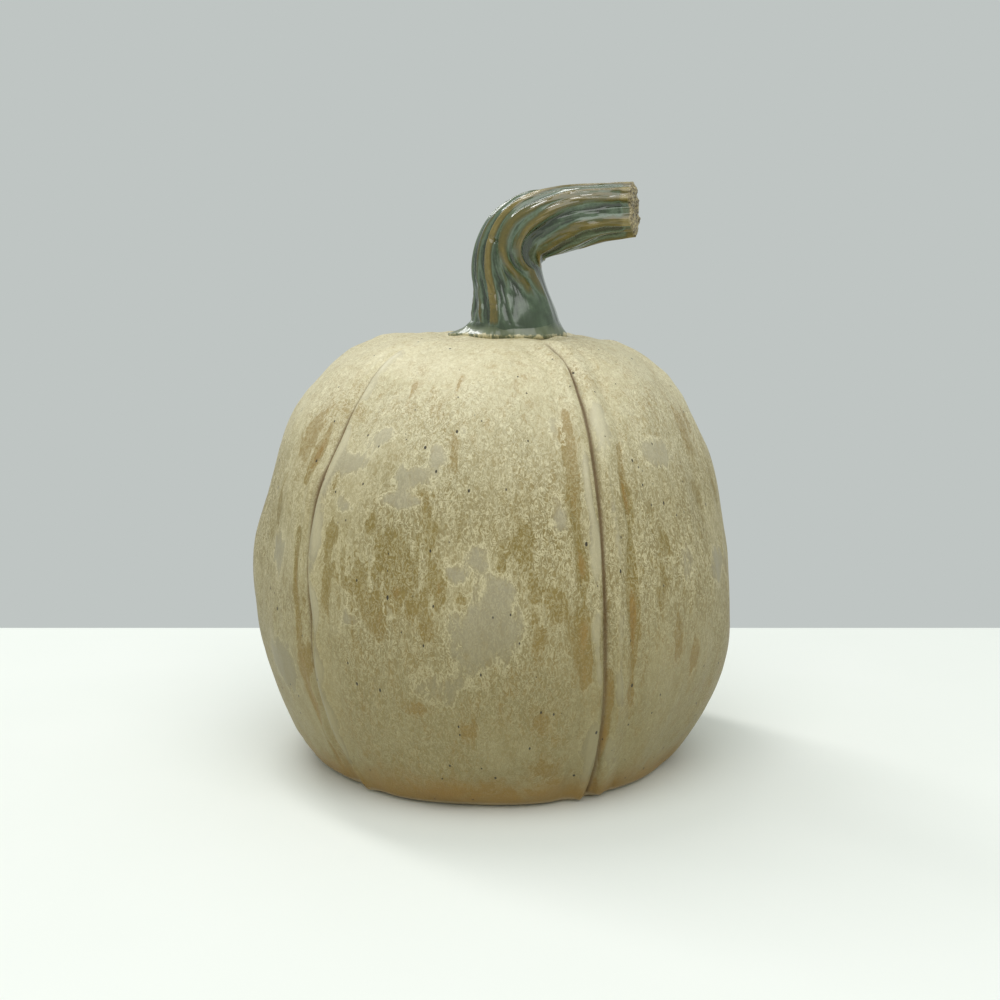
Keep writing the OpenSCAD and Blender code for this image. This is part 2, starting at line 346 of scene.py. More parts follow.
# The foot: the lowest outer rings lift and draw in by a small round, then flat rings run in underneath.
def turnUnder(outer):
    reach = np.hypot(outer[0, :, 0], outer[0, :, 1])
    lift = body["footRound"] * np.array(body["footLifts"])
    outer[:len(lift), :, 2] = np.maximum(outer[:len(lift), :, 2], 0) + lift[:, None]
    outer[0, :, :2] *= (1 - body["footRound"] * body["footDraw"] / reach)[:, None]
    under = []
    for inset in body["footInsets"]:
        share = 1 - (body["footRound"] + inset) / reach
        under.append(np.stack([outer[0, :, 0] * share, outer[0, :, 1] * share, 0 * share], -1))
    return np.array(under)


# The crown under the fillet: the last ring shrinks to the middle. A lumpy field lifts it and the rings
# beside it.
def closeCrown(outer):
    shares = np.linspace(1, 0, body["crownRings"] + 2)[1:-1]
    crown = np.array([outer[-1] * [share, share, 1] for share in shares])
    lumps = body["crownLumps"] * waveField(np.concatenate([outer, crown]), body["lumpSize"], body["seed"] + 4)
    nearCrown = softStep((body["lumpReach"] - np.hypot(outer[..., 0], outer[..., 1])) / body["lumpFade"])
    outer[..., 2] += lumps[:len(outer)] * nearCrown
    crown[..., 2] += lumps[len(outer):]
    return crown


# Relief of the wall between the grooves: wobble, ripple and flow fields and a step up where the glaze lies
# smooth, all fading out at the foot and the stem's seat, plus a wavy foot, less the finger dents.
def wallRelief(rings, direction, radius, height, smooth):
    seed = body["seed"]
    shaped = (
        body["wobble"] * waveField(rings, body["wobbleSize"], seed)
        + body["ripple"] * waveField(rings, body["rippleSize"], seed + 1, 1.6)
        + body["flow"] * waveField(rings, body["flowSize"], seed + 2, 2.5)
        + body["smoothRise"] * softStep((smooth - 0.35) / 0.25))
    edgeFade = softStep(height / body["footFade"]) * softStep((radius - body["seat"]) / body["seatFade"])
    nearFoot = softStep(1 - height / body["footWaveTop"])
    wavyFoot = body["footWave"] * nearFoot * waveField(rings, body["footWaveSize"], seed + 3)
    return edgeFade * shaped + wavyFoot - markField(direction, height, radius, dents)


# The body: the profile carried round, moved along its own outward direction by the grooves and the wall's
# relief, closed over the crown and, through the foot and the slab's seat, by an inner wall.
def makeBody():
    below = np.linspace(0, 1, body["ringsBelow"], endpoint=False)
    above = 1 + np.linspace(0, 1, body["ringsAbove"]) ** body["ringCrowding"]
    t = np.concatenate([below, above])
    direction, fromGroove, which = bodyColumns(t)
    radius, height = bodyProfile(t[:, None], direction)
    rings = np.stack([radius * np.cos(direction), radius * np.sin(direction), height], -1)
    fade = softStep((radius - body["seat"] - body["grooveGap"]) / body["grooveFade"])
    relief, amber, pale, crease = [part * fade for part in grooveRelief(rings, fromGroove * radius, which)]
    amber *= softStep((body["amberTop"] - height) / body["amberFade"])
    amber += markField(direction, height, radius, amberMarks)
    amber += markField(direction, height, radius, strewMarks("amber", strewn["seed"]))
    smooth = markField(direction, height, radius, smoothMarks)
    smooth += markField(direction, height, radius, strewMarks("smooth", strewn["seed"] + 1))
    relief += wallRelief(rings, direction, radius, height, smooth)
    outer = rings + gridNormals(rings) * relief[..., None]

    under = turnUnder(outer)
    inner = innerWall(direction[0])
    crown = closeCrown(outer)
    allRings = np.concatenate([inner[::-1], under[::-1], outer, crown])
    allRings = fitInside(allRings, np.zeros(3), bodyLow, bodyHigh)
    hidden = np.zeros((len(inner) + len(under), direction.shape[1]))

    # carries a mark of the outer rings over the crown, and fills it on the hidden side
    def spread(values, fill=0.0):
        return np.concatenate([hidden + fill, values, np.repeat(values[-1:], len(crown), axis=0)])
    return ringMesh("pumpkinBody", allRings, [0, 0, inner[-1, 0, 2]], [0, 0, body["crown"]], {
        "amber": spread(amber), "smooth": spread(smooth), "pale": spread(pale), "crease": spread(crease),
        "bare": spread(bell(height, body["bareFoot"]), 1.0)})


bodyPiece = makeBody()
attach(bodyPiece, "root")
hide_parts("body_shell")
print("body made:", len(bodyPiece.data.vertices), "points")


# The stem's path and thickness, its mesh, how its ribs wind, the calm inner corner, the strands pulled
# along it and the hollow under the arm's end. From here on s is the distance along the stem in mm, and phi
# is the angle round it, where 0 is the bend's inner side and -90 degrees the front. Widths round the stem,
# and innerAt, are in radians.
stem = {
    "root": 28.0, "bend": 21.6, "tip": 16.4, "columnLength": 18.0, "armLength": 30.0, "bendGap": 1.6,
    "ribRoom": 0.9, "lean": 10.4, "armSlope": 13.0, "armDroop": 10.0, "armTurn": -13.0, "rootOffset": 7.6,
    "rings": 230, "points": 330, "centreSteps": 2000, "centreSpare": 2, "seed": 31,
    "windTo": 55.0, "sway": 0.05, "swayPace": 0.21, "armWiden": 1.3, "flatWiden": 1.05, "ribRise": 8,
    "columnValley": 0.15, "armValley": 0.75,
    "innerCalm": 0.8, "innerAt": 0.25, "innerWidth": 0.75, "innerFade": 12,
    "strandWind": 72, "strandFrom": 8, "strandStretch": 9.0,
    "strand": 0.12, "strandSize": 2.6, "striation": 0.05, "striationSize": 1.1,
    "hollow": 1.7, "hollowAt": -16, "hollowWidth": 0.36, "hollowFrom": 19, "hollowFade": 10,
}
# How worn a rib's glaze is: a least share, more for its height up to a limit, and more on the flattest.
wear = {"least": 0.16, "perHeight": 0.5, "heightLimit": 1.2, "flatExtra": 0.25, "flatFrom": 0.8}
# The glaze that pooled low on the front and round the root: where, how far up, and how it drowns the ribs.
frontPool = {
    "at": -42, "width": 0.72, "top": 15, "fade": 9, "rootShare": 0.8, "rootTop": 5, "rootFade": 3,
    "level": 0.1, "drown": 0.9, "smooth": 0.95, "wave": 0.14, "waveSize": 5.5,
}
# The torn end: fields that fray its edge and roughen its face (each a share, a size in mm and a step of the
# seed), how the face bulges and then dips, and how far back the bare clay and the worn glaze reach.
tornEnd = {
    "edge": 0.16, "edgeReach": 2.5, "edgeFields": ((0.7, 5.0, 7), (0.5, 2.2, 3)),
    "rings": 16, "rough": 0.32, "roughBy": 0.25, "roughFields": ((0.7, 4.0, 5), (0.4, 1.7, 6)),
    "bulge": 0.8, "bulgeBy": 0.2, "dip": 1.0, "dipFrom": 0.3, "dipBy": 0.5,
    "clayReach": 0.9, "clayFade": 0.8, "wornReach": 3.6, "wornFade": 1.6,
}
# Each rib: its angle on the column and on the arm, how far up it starts to wind, its half-width in degrees,
# height in mm, how flat its top is, and how much steeper its inner side is.
ribs = [
    (-107, -182, 20, 6.5, 1.10, 0.9, 0.0), (-131, -210, 20, 4.5, 0.80, 0.2, 0.0),
    (-79, -158, 12, 3.0, 0.45, 0.0, 0.0), (-26, -136, -6, 7.5, 1.50, 0.3, 0.1),
    (-20, -113, 6, 8.0, 1.75, 0.2, 0.5), (24, -63, 8, 9.5, 1.40, 0.5, 0.3),
    (54, -28, 8, 6.0, 0.70, 0.0, 0.0), (84, 10, 8, 9.0, 1.10, 0.3, 0.0),
    (114, 42, 10, 6.0, 0.80, 0.0, 0.0), (144, 74, 12, 8.0, 1.20, 0.4, 0.0),
    (176, 106, 16, 6.0, 0.80, 0.2, 0.0), (203, 129, 18, 4.5, 0.60, 0.0, 0.0),
]
# Cracks across ribs: distance along the stem, angle, half-width in mm, half-angle and depth.
cracks = [(27.0, -110, 0.35, 9, 0.9), (12.6, -107, 0.25, 6, 0.4), (9.5, -107, 0.25, 5, 0.3)]
stemRise = math.radians(90 + stem["lean"])
stem["bendRadius"] = stem["bendGap"] + stem["bend"] / 2 + stem["ribRoom"]
stem["bendTurn"] = stemRise - math.radians(stem["armSlope"])
stem["bendLength"] = stem["bendRadius"] * stem["bendTurn"]
stem["length"] = stem["columnLength"] + stem["bendLength"] + stem["armLength"]
stem["bendMiddle"] = stem["columnLength"] + stem["bendLength"] / 2
stemLow, stemHigh = [np.array(corner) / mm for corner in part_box("stem")]


# Heading of the centre line: steady up the column, turning evenly through the bend, then drooping a bit.
def stemHeading(s):
    bent = np.clip((s - stem["columnLength"]) / stem["bendLength"], 0, 1)
    drooped = np.clip((s - stem["columnLength"] - stem["bendLength"]) / stem["armLength"], 0, None)
    return stemRise - stem["bendTurn"] * bent - math.radians(stem["armDroop"]) * drooped


# Centre line: the running sum of small steps along the heading.
def stemCentre(s):
    fine = np.linspace(0, stem["length"] + stem["centreSpare"], stem["centreSteps"] + 1)
    heading = stemHeading(fine)
    step = fine[1] - fine[0]
    out = np.concatenate([[0], np.cumsum(np.cos(heading[:-1]) * step)])
    up = np.concatenate([[0], np.cumsum(np.sin(heading[:-1]) * step)])
    return np.interp(s, fine, out), np.interp(s, fine, up) + body["crown"]


# Mean radius along the stem: a soft step from root to bend over the column, then one from mid bend to tip.
def stemRadius(s):
    up = softStep(s / stem["columnLength"])
    along = softStep((s - stem["bendMiddle"]) / (stem["length"] - stem["bendMiddle"]))
    return mix(mix(stem["root"], stem["bend"], up), stem["tip"], along) / 2


# How far a rib has wound from its column angle towards its arm angle: a soft step along the stem.
def windShare(s, start):
    return softStep((s - start) / (stem["windTo"] - start))


# Height of the ribs at an angle and a place along the stem: a bell, or a flat-topped bell, round each rib's
# line. The second value is how worn the glaze is there, by the most worn rib.
def ribField(phi, s):
    total = -mix(stem["columnValley"], stem["armValley"], softStep(s / stem["length"]))
    worn = np.zeros(phi.shape)
    for columnAngle, armAngle, windFrom, halfWidth, height, flat, steep in ribs:
        share = windShare(s, windFrom)
        line = np.radians(mix(columnAngle, armAngle, share))
        line = line + stem["sway"] * np.sin(s * stem["swayPace"] + columnAngle)
        turn = wrap(phi - line)
        width = math.radians(halfWidth) * mix(1.0, stem["armWiden"], share)
        width = width * np.where(turn > 0, 1 - steep, 1 + steep)
        shape = mix(bell(turn, width), flatBell(turn, width * stem["flatWiden"]), flat)
        total += height * shape * mix(0.5, 1.0, softStep(s / stem["ribRise"]))
        wornShare = wear["least"] + wear["perHeight"] * min(height, wear["heightLimit"])
        wornShare += wear["flatExtra"] * (flat > wear["flatFrom"])
        worn = np.maximum(worn, shape * wornShare)
    return total, worn


# Random lines pulled along the clay: a field many times longer along the stem than round it, wound like the
# ribs.
def strandField(phi, s, size, seed):
    angle = phi + math.radians(stem["strandWind"]) * windShare(s, stem["strandFrom"])
    reach = stemRadius(s)
    unrolled = np.stack([reach * np.cos(angle), reach * np.sin(angle), s], -1)
    return waveField(unrolled, size, seed, stem["strandStretch"])


# Places points at a radius and an angle round the centre line, square to it, in the arm's turned plane.
def stemPoints(phi, s, radius):
    out, up = stemCentre(s)
    heading = mix(math.pi / 2, stemHeading(s), softStep(s / stem["columnLength"]))
    outwards = out + radius * np.cos(phi) * np.sin(heading)
    side = radius * np.sin(phi)
    turn = math.radians(stem["armTurn"])
    return np.stack([
        stem["rootOffset"] + outwards * math.cos(turn) - side * math.sin(turn),
        outwards * math.sin(turn) + side * math.cos(turn),
        up - radius * np.cos(phi) * np.cos(heading)], -1)


# How deep in pooled glaze a place is: a bell round its direction, fading upwards, or the root's ring.
def poolField(phi, s):
    front = bell(wrap(phi - math.radians(frontPool["at"])), frontPool["width"])
    front = front * softStep((frontPool["top"] - s) / frontPool["fade"])
    ring = frontPool["rootShare"] * softStep((frontPool["rootTop"] - s) / frontPool["rootFade"])
    return np.maximum(front, ring)


# Relief of the stem's side at an angle and a place: ribs drowned by the pool, pulled strands, a hollow
# under the arm and the cracks, with the bend's inner corner calmer. It also gives the wear, the pool and
# the strands.
def stemRelief(phi, s):
    ridge, worn = ribField(phi, s)
    corner = bell(wrap(phi - stem["innerAt"]), stem["innerWidth"])
    corner = corner * softStep((stem["bendMiddle"] + stem["innerFade"] - s) / stem["innerFade"])
    calm = 1 - stem["innerCalm"] * corner
    pool = poolField(phi, s)
    dry = 1 - frontPool["smooth"] * pool
    ridge = mix(ridge * calm, frontPool["level"], frontPool["drown"] * pool)
    strand = strandField(phi, s, stem["strandSize"], stem["seed"]) * dry
    fineStrand = strandField(phi, s, stem["striationSize"], stem["seed"] + 1) * dry
    ridge += frontPool["wave"] * pool * strandField(phi, s, frontPool["waveSize"], stem["seed"] + 2)
    ridge += calm * (stem["strand"] * strand + stem["striation"] * fineStrand)
    under = bell(wrap(phi - math.radians(stem["hollowAt"])), stem["hollowWidth"])
    ridge -= stem["hollow"] * under * softStep((s - stem["length"] + stem["hollowFrom"]) / stem["hollowFade"])
    for place, angle, halfLength, halfAngle, depth in cracks:
        across = bell(wrap(phi - math.radians(angle)), math.radians(halfAngle))
        ridge -= depth * bell(s - place - 0.3 * strand, halfLength) * across
    return ridge, worn * (1 - pool), pool, strand * 0.6 + fineStrand * 0.4


# Sum of random fields, each times its share.
def raggedField(points, fields):
    return sum(share * waveField(points, size, stem["seed"] + step) for share, size, step in fields)


# The torn end: rings shrinking to the middle, pushed out and in along the arm by random fields.
def tornCap(edge, ahead):
    shares = np.linspace(1, 0, tornEnd["rings"] + 1)[1:-1]
    centre = edge.mean(0)
    cap = centre + (edge - centre) * shares[:, None, None]
    inward = (1 - shares)[:, None]
    rough = tornEnd["rough"] * softStep(inward / tornEnd["roughBy"])
    rough = rough * raggedField(cap, tornEnd["roughFields"])
    bulge = tornEnd["bulge"] * softStep(inward / tornEnd["bulgeBy"])
    dip = tornEnd["dip"] * softStep((inward - tornEnd["dipFrom"]) / tornEnd["dipBy"])
    return cap + (rough + bulge - dip)[..., None] * ahead


# The stem: mean radius plus relief carried along the centre line, closed at the root and by the torn end.
def makeStem():
    s = np.linspace(0, stem["length"], stem["rings"])[:, None]
    phi = np.linspace(0, fullTurn, stem["points"], endpoint=False)[None, :]
    s, phi = np.broadcast_arrays(s, phi)
    relief, worn, pool, streak = stemRelief(phi, s)
    rings = stemPoints(phi, s, stemRadius(s) + relief)
    pastTip = s - stem["length"]
    heading, turn = stemHeading(stem["length"]), math.radians(stem["armTurn"])
    level = math.cos(heading)
    ahead = np.array([level * math.cos(turn), level * math.sin(turn), math.sin(heading)])
    frayed = tornEnd["edge"] * softStep(pastTip / tornEnd["edgeReach"] + 1)
    rings += ahead * (frayed * raggedField(rings, tornEnd["edgeFields"]))[..., None]
    cap = tornCap(rings[-1], ahead)
    allRings = np.concatenate([rings, cap])
    root = stemPoints(np.array(0.0), np.array(0.0), np.array(0.0))
    allRings = fitInside(allRings, root, stemLow, stemHigh)

    # carries a mark of the side on over the torn end
    def spread(values, fill):
        return np.concatenate([values, np.full(cap.shape[:2], fill)])
    return ringMesh("stemPulled", allRings, root, allRings[-1].mean(0), {
        "crest": spread(worn, 1.0), "streak": spread(streak, 0.0), "pool": spread(pool, 0.0),
        "torn": spread(softStep((pastTip + tornEnd["clayReach"]) / tornEnd["clayFade"]), 1.0),
        "nearTip": spread(softStep((pastTip + tornEnd["wornReach"]) / tornEnd["wornFade"]), 1.0),
        "edge": spread(0 * worn, 0.0)})


stemPiece = makeStem()
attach(stemPiece, "root")
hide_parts("stem")
print("stem made:", len(stemPiece.data.vertices), "points")


# The fillet's height and mesh, how far it reaches all round, on the bend's outer side and along its tail,
# the lip that it starts with inside the stem, its ledge, and the waves of its edge: share, count round the
# stem and start.
collar = {
    "height": 6.5, "power": 2.8, "reliefPower": 0.6, "sunk": 1.2, "inset": 2.2, "rings": 38, "innerRings": 6,
    "reach": 0.9, "side": 3.7, "sideWidth": 0.8, "tail": 3.6, "tailAt": -160, "tailWidth": 0.13,
    "lip": 0.25, "lipWander": 0.4, "frontLip": 0.4, "frontWidth": 0.9,
    "ledge": 0.35, "ledgeAt": 0.5, "ledgeWidth": 0.13, "ledgeWander": 0.05, "ledgeTurn": 0.3,
    "wander": 0.3, "waves": ((1, 5, 0.6), (0.8, 9, 1.3), (0.2, 17, 0.4)),
}


# The fillet's section: a hollow quarter, its reach a power of the way down, from just inside the stem to a
# wandering foot sunk in the crown, with one long tail and a low ledge part way up; closed inside the stem.
def makeCollar():
    phi = np.linspace(0, fullTurn, stem["points"], endpoint=False)[None, :]
    up = np.linspace(1, 0, collar["rings"])[:, None]
    up, phi = np.broadcast_arrays(up, phi)
    s = collar["height"] * up
    relief, worn, pool, streak = stemRelief(phi, s)
    wander = sum(share * np.sin(count * phi + start) for share, count, start in collar["waves"])
    side = collar["side"] * bell(wrap(phi - math.pi), collar["sideWidth"])
    tail = collar["tail"] * bell(wrap(phi - math.radians(collar["tailAt"])), collar["tailWidth"])
    reach = collar["reach"] + side + tail + collar["wander"] * wander
    front = collar["frontLip"] * bell(wrap(phi + math.pi / 2), collar["frontWidth"])
    start = collar["lip"] * (1 + collar["lipWander"] * wander) + front
    outward = mix(-start, reach, (1 - up) ** collar["power"])
    ledge = bell(up - collar["ledgeAt"] - collar["ledgeWander"] * wander, collar["ledgeWidth"])
    ledge = collar["ledge"] * ledge * softStep(collar["ledgeTurn"] - np.cos(phi))
    relief = np.maximum(relief, relief * up ** collar["reliefPower"])
    outer = stemPoints(phi, s, stemRadius(s) + relief + outward + ledge)
    foot = outer[-1:] - [0, 0, collar["sunk"]]
    depth = np.linspace(0, collar["height"], collar["innerRings"])[:, None] + 0 * phi[:1]
    inner = stemPoints(phi[:1] + 0 * depth, depth, stemRadius(depth) - collar["inset"])
    inner = np.concatenate([inner[:1] - [0, 0, collar["sunk"]], inner])
    rings = np.concatenate([outer, foot, inner])[::-1]

    # fills a mark of the outer rings out over the hidden ones
    def spread(values, fill=0.0):
        return np.concatenate([values, np.full((len(inner) + 1, values.shape[1]), fill)])[::-1]
    return ringMesh("stemFillet", rings, marks={
        "crest": spread(worn * up), "streak": spread(streak), "torn": spread(0 * worn),
        "nearTip": spread(0 * worn), "pool": spread(pool), "edge": spread((1 - up) ** 2, 1.0)})


collarPiece = makeCollar()
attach(collarPiece, "root")
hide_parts("stem_collar")
print("fillet made:", len(collarPiece.data.vertices), "points")


# Tints, each as red, green and blue on a screen from 0 to 255. The body's first four glazes have one each
# for the foot, the belly and the crown: the crown's paler cream is the glaze's own, and the darkening
# towards the foot is partly painted shade.
creamTints = {
    "plain": [(138, 126, 83), (150, 136, 95), (202, 192, 153)],
    "quiet": [(130, 120, 86), (154, 145, 119), (192, 184, 155)],
    "cream": [(174, 162, 122), (214, 203, 162), (242, 234, 200)],
    "ochre": [(132, 108, 48), (132, 113, 52), (170, 145, 94)],
    "deep": (144, 110, 42), "low": (152, 116, 48), "crease": (102, 77, 38), "speck": (28, 19, 5),
    "bare": (200, 180, 142),
}
# The random fields that move the body's glaze about: size in mm, stretch, detail, roughness, warp and
# offset.
creamNoises = {
    "broad": (32, 1.3, 2, 0.5, 0.3, 5), "cloud": (13, 1.7, 3, 0.55, 0.8, 21), "run": (6.5, 2.6, 5, 0.62, 0.7),
    "streak": (2.2, 5.0, 3, 0.6, 0.4, 11), "fine": (2.0, 1.5, 3, 0.7, 0.8, 7),
    "grain": (0.75, 1.2, 2, 0.7, 0.0, 3),
}
# The stem's tints lie along a value from 0 to 1: how worn the glaze is, and random clouds in the pool and
# the clay.
greenTints = {
    "worn": [
        (0.0, (40, 50, 30)), (0.12, (62, 78, 54)), (0.26, (96, 112, 90)), (0.40, (78, 84, 50)),
        (0.54, (84, 77, 26)), (0.72, (107, 93, 34)), (1.0, (138, 124, 70))],
    "pool": [(0.2, (46, 60, 36)), (0.5, (64, 82, 56)), (0.8, (100, 116, 90))],
    "clay": [(0.25, (66, 54, 34)), (0.5, (136, 122, 86)), (0.8, (184, 170, 132))],
    "thinned": (112, 118, 84), "rim": (196, 186, 146),
}
clayTints = {
    "mottle": [(0.25, (174, 146, 106)), (0.5, (202, 178, 140)), (0.75, (218, 199, 164))],
    "speck": (82, 56, 36),
}


# A tint turned into the linear values that the shader wants: on the screen's curve, a straight line near
# black and a power of 2.4 above it.
def tint(shade):
    values = np.array(shade) / 255
    linear = np.where(values <= 0.04045, values / 12.92, ((values + 0.055) / 1.055) ** 2.4)
    return (*linear, 1.0)


# One material's nodes: nearly every method adds a node or two and returns the socket to use. In the glazes
# below r is the recipe in hand.
class Recipe:
    def __init__(self, name):
        self.material = bpy.data.materials.new(name)
        self.material.use_nodes = True
        self.tree = self.material.node_tree
        self.shader = self.tree.nodes["Principled BSDF"]
        self.place = self.tree.nodes.new("ShaderNodeTexCoord").outputs["Object"]

    # links a socket, or sets a plain value
    def put(self, socket, value):
        if isinstance(value, bpy.types.NodeSocket):
            self.tree.links.new(value, socket)
        else:
            socket.default_value = value

    # one sum, product or comparison of its values
    def math(self, operation, *values):
        node = self.tree.nodes.new("ShaderNodeMath")
        node.operation = operation
        for socket, value in zip(node.inputs, values):
            self.put(socket, value)
        return node.outputs[0]

    # base plus each field times its weight
    def total(self, base, *terms):
        for value, weight in terms:
            base = self.math("MULTIPLY_ADD", value, weight, base)
        return base

    # soft step of a value between low and high, from a to b
    def ramp(self, value, low, high, a=0.0, b=1.0):
        node = self.tree.nodes.new("ShaderNodeMapRange")
        node.interpolation_type = "SMOOTHSTEP"
        ends = {"Value": value, "From Min": low, "From Max": high, "To Min": a, "To Max": b}
        for key, item in ends.items():
            self.put(node.inputs[key], item)
        return node.outputs[0]

    # one where a value lies at a level, falling to none a half-width to either side
    def line(self, value, level, halfWidth):
        away = self.math("ABSOLUTE", self.math("SUBTRACT", value, level))
        return self.ramp(away, halfWidth, 0.0)

    # colour a with a share of colour b over it
    def blend(self, share, a, b):
        node = self.tree.nodes.new("ShaderNodeMix")
        node.data_type = "RGBA"
        self.put(node.inputs[0], share)
        self.put(node.inputs[6], a)
        self.put(node.inputs[7], b)
        return node.outputs[2]

    # tints laid along a value, each with its place from 0 to 1
    def colours(self, value, stops):
        node = self.tree.nodes.new("ShaderNodeValToRGB")
        band = node.color_ramp.elements
        first, *between, last = [(place, tint(shade)) for place, shade in stops]
        band[0].position, band[0].color = first
        band[1].position, band[1].color = last
        for place, colour in between:
            band.new(place).color = colour
        self.put(node.inputs[0], value)
        return node.outputs["Color"]

    # a mark that the mesh carries at each of its points
    def attribute(self, name):
        node = self.tree.nodes.new("ShaderNodeAttribute")
        node.attribute_name = name
        return node.outputs["Fac"]

    # the place in cells of a size in mm, stretched along Z and shifted
    def cells(self, size, stretch, shift):
        mapping = self.tree.nodes.new("ShaderNodeMapping")
        perMetre = 1 / mm / size
        mapping.inputs["Scale"].default_value = (perMetre, perMetre, perMetre / stretch)
        mapping.inputs["Location"].default_value = shift
        self.put(mapping.inputs["Vector"], self.place)
        return mapping.outputs[0]

    # noise about zero, whose grains are size mm across, stretched along Z
    def noise(self, size, stretch=1.0, detail=2.0, roughness=0.5, warp=0.0, offset=0.0):
        node = self.tree.nodes.new("ShaderNodeTexNoise")
        node.inputs["Scale"].default_value = 1.0
        node.inputs["Detail"].default_value = detail
        node.inputs["Roughness"].default_value = roughness
        node.inputs["Distortion"].default_value = warp
        self.put(node.inputs["Vector"], self.cells(size, stretch, (offset, offset * 0.7, offset * 0.3)))
        return self.math("SUBTRACT", node.outputs["Fac"], 0.5)

    # scattered dots: cells size mm apart, of which a share have a dot, of a random radius up to radius mm
    def dots(self, size, share, radius, offset=0.0, stretch=1 / 0.55, least=0.45):
        cell = self.tree.nodes.new("ShaderNodeTexVoronoi")
        cell.inputs["Scale"].default_value = 1.0
        self.put(cell.inputs["Vector"], self.cells(size, stretch, (offset,) * 3))
        split = self.tree.nodes.new("ShaderNodeSeparateColor")
        self.put(split.inputs[0], cell.outputs["Color"])
        chosen = self.math("LESS_THAN", split.outputs[0], share)
        reach = self.ramp(split.outputs[1], 0.0, 1.0, least * radius / size, radius / size)
        dot = self.ramp(self.math("DIVIDE", cell.outputs["Distance"], reach), 1.05, 0.75)
        return self.math("MULTIPLY", dot, chosen)

    # height above the floor in metres
    def height(self):
        split = self.tree.nodes.new("ShaderNodeSeparateXYZ")
        self.put(split.inputs[0], self.place)
        return split.outputs[2]

    # a bump of a field whose one stands for distance in mm, over a base bump where there is one
    def bump(self, height, distance, strength=1.0, base=None):
        node = self.tree.nodes.new("ShaderNodeBump")
        node.inputs["Strength"].default_value = strength
        node.inputs["Distance"].default_value = distance * mm
        self.put(node.inputs["Height"], height)
        if base is not None:
            self.put(node.inputs["Normal"], base)
        return node.outputs[0]

    # sets or links the shader's own inputs, with a low line for each space in their names
    def set(self, **values):
        for key, value in values.items():
            self.put(self.shader.inputs[key.replace("_", " ")], value)
